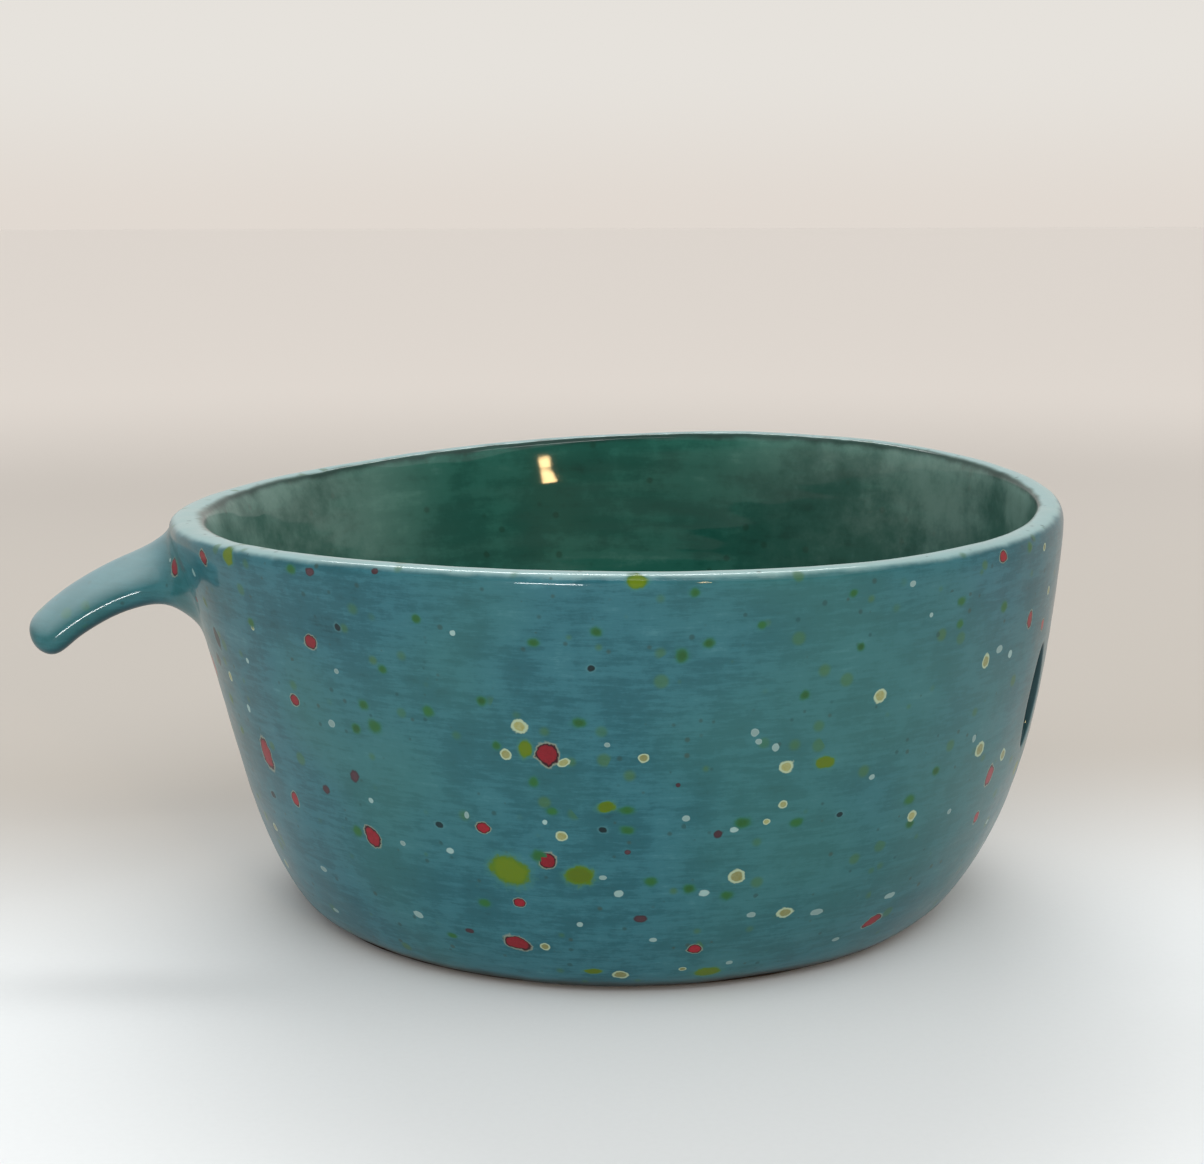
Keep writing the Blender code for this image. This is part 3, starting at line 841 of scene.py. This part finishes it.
def crystal_group():
    """Node group that lays one layer of crystals over a base colour."""
    tree = bpy.data.node_groups.new("crystal_layer", "ShaderNodeTree")
    for name, way, kind in (
        ("Offset", "INPUT", "Vector"), ("Where", "INPUT", "Vector"), ("Base", "INPUT", "Color"),
        ("Colour", "OUTPUT", "Color"), ("Cover", "OUTPUT", "Float"),
    ):
        tree.interface.new_socket(name, in_out=way, socket_type="NodeSocket" + kind)
    n = Nodes(tree)
    given = n.add("NodeGroupInput")
    right, up, tag = n.split(given.outputs["Offset"])
    kind = n.math("FLOOR", tag)
    seed = n.math("SUBTRACT", tag, kind)
    pick = n.math("DIVIDE", n.plus(kind, 0.5), len(CORE_COLOURS))

    round_distance = n.math("SQRT", n.plus(n.times(right, right), n.times(up, up)))
    ragged = n.noise(given.outputs["Where"], 620, detail=2.5, roughness=0.6)
    wobble = n.times(n.math("SUBTRACT", ragged, 0.5), 0.9)
    distance = n.times(round_distance, n.plus(1.0, wobble))

    def per_kind(values):
        stops = [(i / len(values), np.broadcast_to(value, 3)) for i, value in enumerate(values)]
        return n.ramp(pick, stops, steps=True)

    def palette(colours):
        return per_kind([srgb(*colour) for colour in colours])

    softness = per_kind((0.07, 0.16, 0.32, 0.10, 0.16, 0.22, 0.20))
    edge_width = per_kind((0.17, 0.22, 0.34, 0.30, 0.12, 0.22, 0.10))
    halo_reach = per_kind((0.24, 0.50, 0.70, 0.14, 0.34, 0.30, 0.9))
    halo_strength = per_kind((0.72, 0.50, 0.35, 0.30, 0.22, 0.22, 0.42))
    grain = n.noise(given.outputs["Where"], 1900, detail=2.0)
    core = n.mix(n.times(grain, 0.55), palette(CORE_COLOURS), palette(EDGE_COLOURS))
    shade = n.math("MULTIPLY_ADD", seed, 0.5, 0.72)
    tint = n.add("ShaderNodeCombineColor")
    for socket in tint.inputs[:3]:
        n.put(socket, shade)
    core = n.mix(1.0, core, tint.outputs[0], blend="MULTIPLY")

    halo_in = n.step(distance, n.plus(1.0, halo_reach), 1.0)
    colour = n.mix(n.times(halo_in, halo_strength), given.outputs["Base"], palette(HALO_COLOURS))
    edge_in = n.step(distance, n.plus(1.0, softness), n.math("SUBTRACT", 1.0, softness))
    colour = n.mix(edge_in, colour, palette(EDGE_COLOURS))
    inner = n.math("SUBTRACT", 1.0, edge_width)
    core_in = n.step(distance, n.plus(inner, softness), n.math("SUBTRACT", inner, softness))
    colour = n.mix(core_in, colour, core)
    result = n.add("NodeGroupOutput")
    n.put(result.inputs["Colour"], colour)
    n.put(result.inputs["Cover"], edge_in)
    return tree


def new_material(name):
    material = bpy.data.materials.new(name)
    material.use_nodes = True
    tree = material.node_tree
    return material, Nodes(tree), tree.nodes["Principled BSDF"]


def bumped(n, shader, height, distance, strength=1.0):
    bump = n.add("ShaderNodeBump")
    n.settle(bump, Strength=strength, Distance=distance)
    n.put(bump.inputs["Height"], height)
    n.put(shader.inputs["Normal"], bump.outputs[0])


def glassy(n, shader, cloud):
    """A satin glaze body under a thin glassy skin."""
    n.put(shader.inputs["Roughness"], n.step(cloud, 0.3, 0.7, 0.28, 0.38))
    n.settle(shader, Specular_IOR_Level=0.04, Coat_Weight=0.42, Coat_Roughness=0.06, Coat_IOR=1.5)


def freckles(n, where, base, scale, size, share, colour, other, strength):
    """Small soft dots, one in each cell of a pattern but for a share of them."""
    distance, chance, hue = n.cells(where, scale)
    radius = n.step(chance, share, 1.0, 0.0, size)
    dot = n.step(n.math("SUBTRACT", distance, radius), 0.10, -0.08)
    shown = n.times(dot, n.math("GREATER_THAN", chance, share))
    tint = n.mix(hue, srgb(*colour), srgb(*other))
    return n.mix(n.times(shown, strength), base, tint)


def green_tone(n, where):
    """Mottled green, with painted light that makes it paler towards the bowl's ends than in its middle.
    """
    cloud = n.noise(where, 34.0, detail=6.0, roughness=0.66)
    streak = n.noise(where, 1.0, detail=5.0, roughness=0.6, stretch=(50.0, 50.0, 260.0))
    tone = n.plus(n.times(cloud, 0.70), n.times(streak, 0.30))
    base = n.shades(
        tone, (0.32, 10, 58, 48), (0.46, 20, 78, 67), (0.56, 34, 94, 82), (0.70, 66, 118, 106)
    )
    distance, chance, _ = n.cells(where, 240.0)
    speck = n.times(n.step(distance, 0.26, 0.10), n.math("GREATER_THAN", chance, 0.62))
    base = n.tint(base, speck, 0.5, 12, 50, 34)
    # Painted light: the inside is turned paler towards its left and right ends, where light falls on it.
    side = n.step(n.math("ABSOLUTE", n.split(where)[0]), *SIDE_LIGHT_BAND)
    side_light = n.times(side, n.step(cloud, 0.36, 0.62, 0.14, 0.50))
    return n.mix(side_light, base, srgb(150, 174, 166)), cloud, streak


# Where bands of colour, painted highlight and painted shade begin and end: along the section's path,
# along X and by the distance outwards.
CREST_HIGHLIGHT_BAND = (PATH_LIP + 0.0012, PATH_LIP + 0.0028)
GREEN_BAND = (PATH_INSIDE - 0.0032, PATH_INSIDE - 0.0018)
BRINK_SHADE_BAND = (PATH_INSIDE - 0.0004, PATH_INSIDE - 0.0016)
FOOT_SHADE_BAND = (0.0030, 0.0012)
STEM_BAND = (-0.080, -0.092)
SIDE_LIGHT_BAND = (0.024, 0.080)
FOOT_EDGE_SHADE_BAND = (0.0555, 0.0575)


def blue_glaze():
    """Turquoise glaze, brushed on level, with crystals; it turns green over the inner edge of the rim."""
    material, n, shader = new_material("blue_glaze_brushed")
    where = n.coordinate("Object")
    fine = n.noise(where, 1.0, detail=5.0, roughness=0.68, stretch=(150.0, 150.0, 1100.0))
    broad = n.noise(where, 1.0, detail=4.0, roughness=0.6, stretch=(26.0, 26.0, 230.0))
    cloud = n.noise(where, 105.0, detail=6.0, roughness=0.68)
    drift = n.noise(where, 17.0, detail=2.0)
    tone = n.plus(n.times(fine, 0.36), n.times(broad, 0.16))
    tone = n.plus(tone, n.times(cloud, 0.48))
    base = n.shades(
        tone, (0.30, 20, 60, 67), (0.45, 31, 80, 89), (0.55, 42, 93, 103), (0.72, 65, 114, 123)
    )
    base = n.mix(n.step(drift, 0.42, 0.66, 0.0, 0.45), base, srgb(50, 98, 92))

    ragged = n.times(n.math("SUBTRACT", n.noise(where, 130.0, detail=4.0), 0.5), 0.0018)
    along = n.plus(n.stored("path"), ragged)
    # Painted highlight: the rim's crest is turned pale, as where the lip catches the light.
    crest_highlight = n.step(along, *CREST_HIGHLIGHT_BAND)
    base = n.tint(base, crest_highlight, 0.60, 164, 194, 192)
    base = freckles(n, where, base, 230.0, 0.26, 0.48, (58, 92, 38), (46, 90, 58), 0.60)
    base = freckles(n, where, base, 470.0, 0.20, 0.66, (22, 60, 62), (50, 62, 48), 0.62)

    group = crystal_group()
    cover = None
    for layer in (1, 0):
        spots = n.add("ShaderNodeGroup")
        spots.node_tree = group
        n.put(spots.inputs["Offset"], n.stored(f"crystal_{layer}", "Vector"))
        n.put(spots.inputs["Where"], where)
        n.put(spots.inputs["Base"], base)
        base = spots.outputs["Colour"]
        covered = spots.outputs["Cover"]
        cover = covered if cover is None else n.math("MAXIMUM", cover, covered)

    inside = n.step(along, *GREEN_BAND)
    base = n.mix(inside, base, green_tone(n, where)[0])
    # Painted shade: a dark line just inside the rim's inner edge.
    brink_shade = n.times(inside, n.step(along, *BRINK_SHADE_BAND))
    base = n.tint(base, brink_shade, 0.75, 10, 34, 30)
    facing_up = n.split(n.coordinate("Normal"))[2]
    on_stem = n.step(n.split(where)[0], *STEM_BAND)
    # Painted highlight: the stem's upward faces are turned pale, as where they catch the light.
    stem_top_highlight = n.times(on_stem, n.step(facing_up, 0.15, 0.80))
    base = n.tint(base, stem_top_highlight, 0.46, 160, 184, 188)
    # Painted shade: the stem's downward faces are darkened.
    belly = n.times(on_stem, n.step(facing_up, -0.25, -0.85))
    base = n.tint(base, belly, 0.65, 10, 44, 56)
    # The slot's lining is darkened: partly dark glaze pooled in the cut, partly painted shade in the
    # narrow slot.
    lining = n.step(n.stored("lining"), 0.25, 0.9)
    base = n.tint(base, lining, 0.85, 12, 40, 44)
    # Painted shade: the coat's lowest few millimetres are darkened where the bowl meets the floor.
    foot = n.step(along, *FOOT_SHADE_BAND)
    base = n.tint(base, foot, 0.90, 14, 30, 28)
    n.put(shader.inputs["Base Color"], base)

    glassy(n, shader, cloud)
    relief = n.plus(n.times(fine, 0.5), n.times(n.noise(where, 420.0, detail=3.0), 0.5))
    relief = n.plus(relief, n.times(cover, 0.25))
    bumped(n, shader, relief, 0.00012, 0.55)
    return material


def green_glaze():
    material, n, shader = new_material("green_glaze_mottled")
    where = n.coordinate("Object")
    base, cloud, streak = green_tone(n, where)
    n.put(shader.inputs["Base Color"], base)
    glassy(n, shader, cloud)
    relief = n.plus(n.times(streak, 0.5), n.times(n.noise(where, 300.0), 0.5))
    bumped(n, shader, relief, 0.00005, 0.3)
    return material


def buff_clay():
    material, n, shader = new_material("buff_clay_fired")
    where = n.coordinate("Object")
    cloud = n.noise(where, 90.0, detail=5.0, roughness=0.6)
    grit = n.noise(where, 1500.0, detail=3.0, roughness=0.7)
    tone = n.plus(n.times(cloud, 0.6), n.times(grit, 0.4))
    base = n.shades(tone, (0.36, 104, 70, 50), (0.5, 146, 106, 78), (0.64, 178, 140, 108))
    # Painted shade: the slab's outer edge is darkened where it meets the floor.
    base = n.tint(base, n.step(n.length(where), *FOOT_EDGE_SHADE_BAND), 0.88, 40, 30, 25)
    n.put(shader.inputs["Base Color"], base)
    n.put(shader.inputs["Roughness"], n.step(grit, 0.3, 0.7, 0.75, 0.95))
    bumped(n, shader, grit, 0.00025, 0.6)
    return material


# --- The bare clay foot ---
FOOT_SIDES = 192
NICK_DEPTH = 0.00018
NICKED_BELOW = 0.0012
NICKED_BEYOND = 0.057


def foot_slab(material):
    """Floor slab with a softly rounded bare edge and a faintly trimmed underside."""
    top = FLOOR_TOP - GLAZE - 0.0004
    # (radius, height) from the middle of the underside round to the middle of the top
    section = [(0.0, 0.00025), (0.018, 0.00022), (0.036, 0.00016), (0.050, 0.00006), (0.0560, 0.0)]
    edge = form_radius(0.0)
    section += [(edge - 0.0011, 0.0), (edge - 0.0005, 0.00006), (edge - 0.0001, 0.00028)]
    section += [(form_radius(h) - 0.00004, h) for h in (0.00055, 0.00080)]
    section += [(inset_radius(h, GLAZE + 0.0003), h) for h in (0.0009, 0.0025, 0.0045, top)]
    section += [(0.030, top), (0.0, top)]
    builder = bmesh.new()
    rings = []
    for radius, height in section:
        ring = []
        for i in range(FOOT_SIDES if radius > 0 else 1):
            angle = 2 * math.pi * i / FOOT_SIDES
            point = hand_built(radius, angle, height)
            if height < NICKED_BELOW and radius > NICKED_BEYOND:
                nick = noise.noise(Vector((math.sin(angle) * 9, math.cos(angle) * 9, 0.0)))
                point += Vector((math.sin(angle), -math.cos(angle), 0.0)) * NICK_DEPTH * nick
            ring.append(builder.verts.new(point))
        rings.append(ring)
    for before, ring in zip(rings, rings[1:]):
        bridge(builder, before, ring)
    bmesh.ops.recalc_face_normals(builder, faces=builder.faces)
    mesh = finished_mesh(builder, "foot_slab")
    mesh.shade_smooth()
    mesh.set_sharp_from_angle(angle=math.radians(50))
    mesh.materials.append(material)
    return new_object("foot_slab", mesh)


# --- Pieces ---
SUBDIVISIONS = 2
blue = blue_glaze()
green = green_glaze()
clay = buff_clay()

sheet = finished_sheet(SUBDIVISIONS)
coat, coat_faces, coat_points, coat_normals = coat_solid("blue_coat", sheet, BLUE)
coat.data.materials.append(blue)
paint_crystals(coat, coat_faces, coat_points, coat_normals)
liner, _, _, _ = coat_solid("green_liner", sheet, GREEN)
liner.data.materials.append(green)
foot = foot_slab(clay)

for piece, node, slot in (
    (coat, "outer_glaze", "blue_glaze"),
    (liner, "inner_glaze", "green_glaze"),
    (foot, "base_slab", "buff_clay"),
):
    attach(piece, "root")
    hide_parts(node)
for name in ("wall_ring", "rim_coil", "stem_handle", "joint_coil"):
    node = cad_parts[name]
    for place in node.material_slots:
        place.material = clay

# --- Stage, light and camera ---
FLOOR_SIZE = 14.0
WARM = (1.0, 0.66, 0.30)
CAMERA_LENS = 63.18
CAMERA_SENSOR = 36.0
CAMERA_PLACE = (-0.05256, -0.39655, 0.13343)
CAMERA_DIRECTION = (0.11982, 0.97586, -0.18262)
NEAR_COLOUR = srgb(223, 226, 227)
BEHIND_SHADE_COLOUR = srgb(180, 174, 166)
FAR_COLOUR = srgb(231, 223, 215)


def floor_material():
    material, n, shader = new_material("pale_floor")
    where = n.coordinate("Object")
    weave = n.noise(where, 900.0, detail=3.0)
    # Painted shadow: the floor behind the bowl is darker, as in the bowl's shadow.
    base = n.mix(n.step(n.split(where)[1], -0.06, 0.09), NEAR_COLOUR, BEHIND_SHADE_COLOUR)
    base = n.mix(n.step(n.length(where), 0.16, 1.10), base, FAR_COLOUR)
    base = n.tint(base, weave, 0.06, 150, 150, 150)
    n.put(shader.inputs["Base Color"], base)
    n.settle(shader, Roughness=0.9, Specular_IOR_Level=0.2)
    return material


def build_floor():
    builder = bmesh.new()
    bmesh.ops.create_grid(builder, x_segments=8, y_segments=8, size=FLOOR_SIZE / 2)
    mesh = finished_mesh(builder, "floor")
    mesh.materials.append(floor_material())
    floor = new_object("floor", mesh)


def looking_along(direction):
    return direction.to_track_quat("-Z", "Y").to_euler()


def area_light(name, place, target, size, watts, spread, colour=(1.0, 1.0, 1.0)):
    data = bpy.data.lights.new(name, "AREA")
    data.shape = "RECTANGLE"
    data.size, data.size_y = size
    data.energy = watts
    data.color = colour
    data.spread = math.radians(spread)
    lamp = new_object(name, data)
    lamp.visible_camera = False
    lamp.location = place
    lamp.rotation_euler = looking_along(Vector(target) - Vector(place))


def soft_sun(name, direction, strength, spread):
    data = bpy.data.lights.new(name, "SUN")
    data.energy = strength
    data.angle = math.radians(spread)
    lamp = new_object(name, data)
    lamp.rotation_euler = looking_along(Vector(direction))


build_floor()
# Name, direction, strength and spread in degrees.
soft_sun("soft_back", (0.05, -0.40, -0.91), 0.18, 60)
soft_sun("soft_left", (0.50, 0.45, -0.74), 0.59, 60)
soft_sun("soft_right", (-0.42, 0.48, -0.77), 0.95, 60)
# Name, place, target, size, watts, spread in degrees and any colour.
area_light("back_strip", (0.0, 0.75, 0.95), (0.0, 0.0, 0.05), (1.00, 0.14), 1.0, 60)
area_light("front_strip", (0.05, -1.00, 1.00), (0.0, 0.0, 0.07), (1.40, 0.04), 0.52, 70)
area_light("handle_strip", (-0.467, -1.15, 0.075), (-0.095, 0.0, 0.06), (0.36, 0.06), 0.55, 60)
area_light("warm_lamp", (0.263, -1.12, 0.43), (0.0, 0.07, 0.07), (0.07, 0.06), 0.12, 60, WARM)

world = bpy.data.worlds.new("pale_room")
world.use_nodes = True
sky = Nodes(world.node_tree)
_, back, height = sky.split(sky.coordinate("Generated"))
sky_colour = sky.shades(
    sky.math("MULTIPLY_ADD", height, 0.5, 0.5),
    (0.491, 225, 217, 209), (0.53, 230, 226, 220), (0.66, 218, 217, 214), (0.82, 190, 190, 190),
)
away = sky.times(sky.step(height, 0.12, 0.26), sky.step(back, -0.15, -0.75))
sky_colour = sky.tint(sky_colour, away, 0.75, 110, 110, 112)
sky.put(world.node_tree.nodes["Background"].inputs["Color"], sky_colour)
bpy.context.scene.world = world
bpy.context.scene.view_settings.view_transform = "Standard"

camera_data = bpy.data.cameras.new("camera")
camera_data.lens = CAMERA_LENS
camera_data.sensor_width = CAMERA_SENSOR
camera_data.sensor_fit = "HORIZONTAL"
camera = new_object("camera", camera_data)
camera.location = CAMERA_PLACE
camera.rotation_euler = looking_along(Vector(CAMERA_DIRECTION))
bpy.context.scene.camera = camera
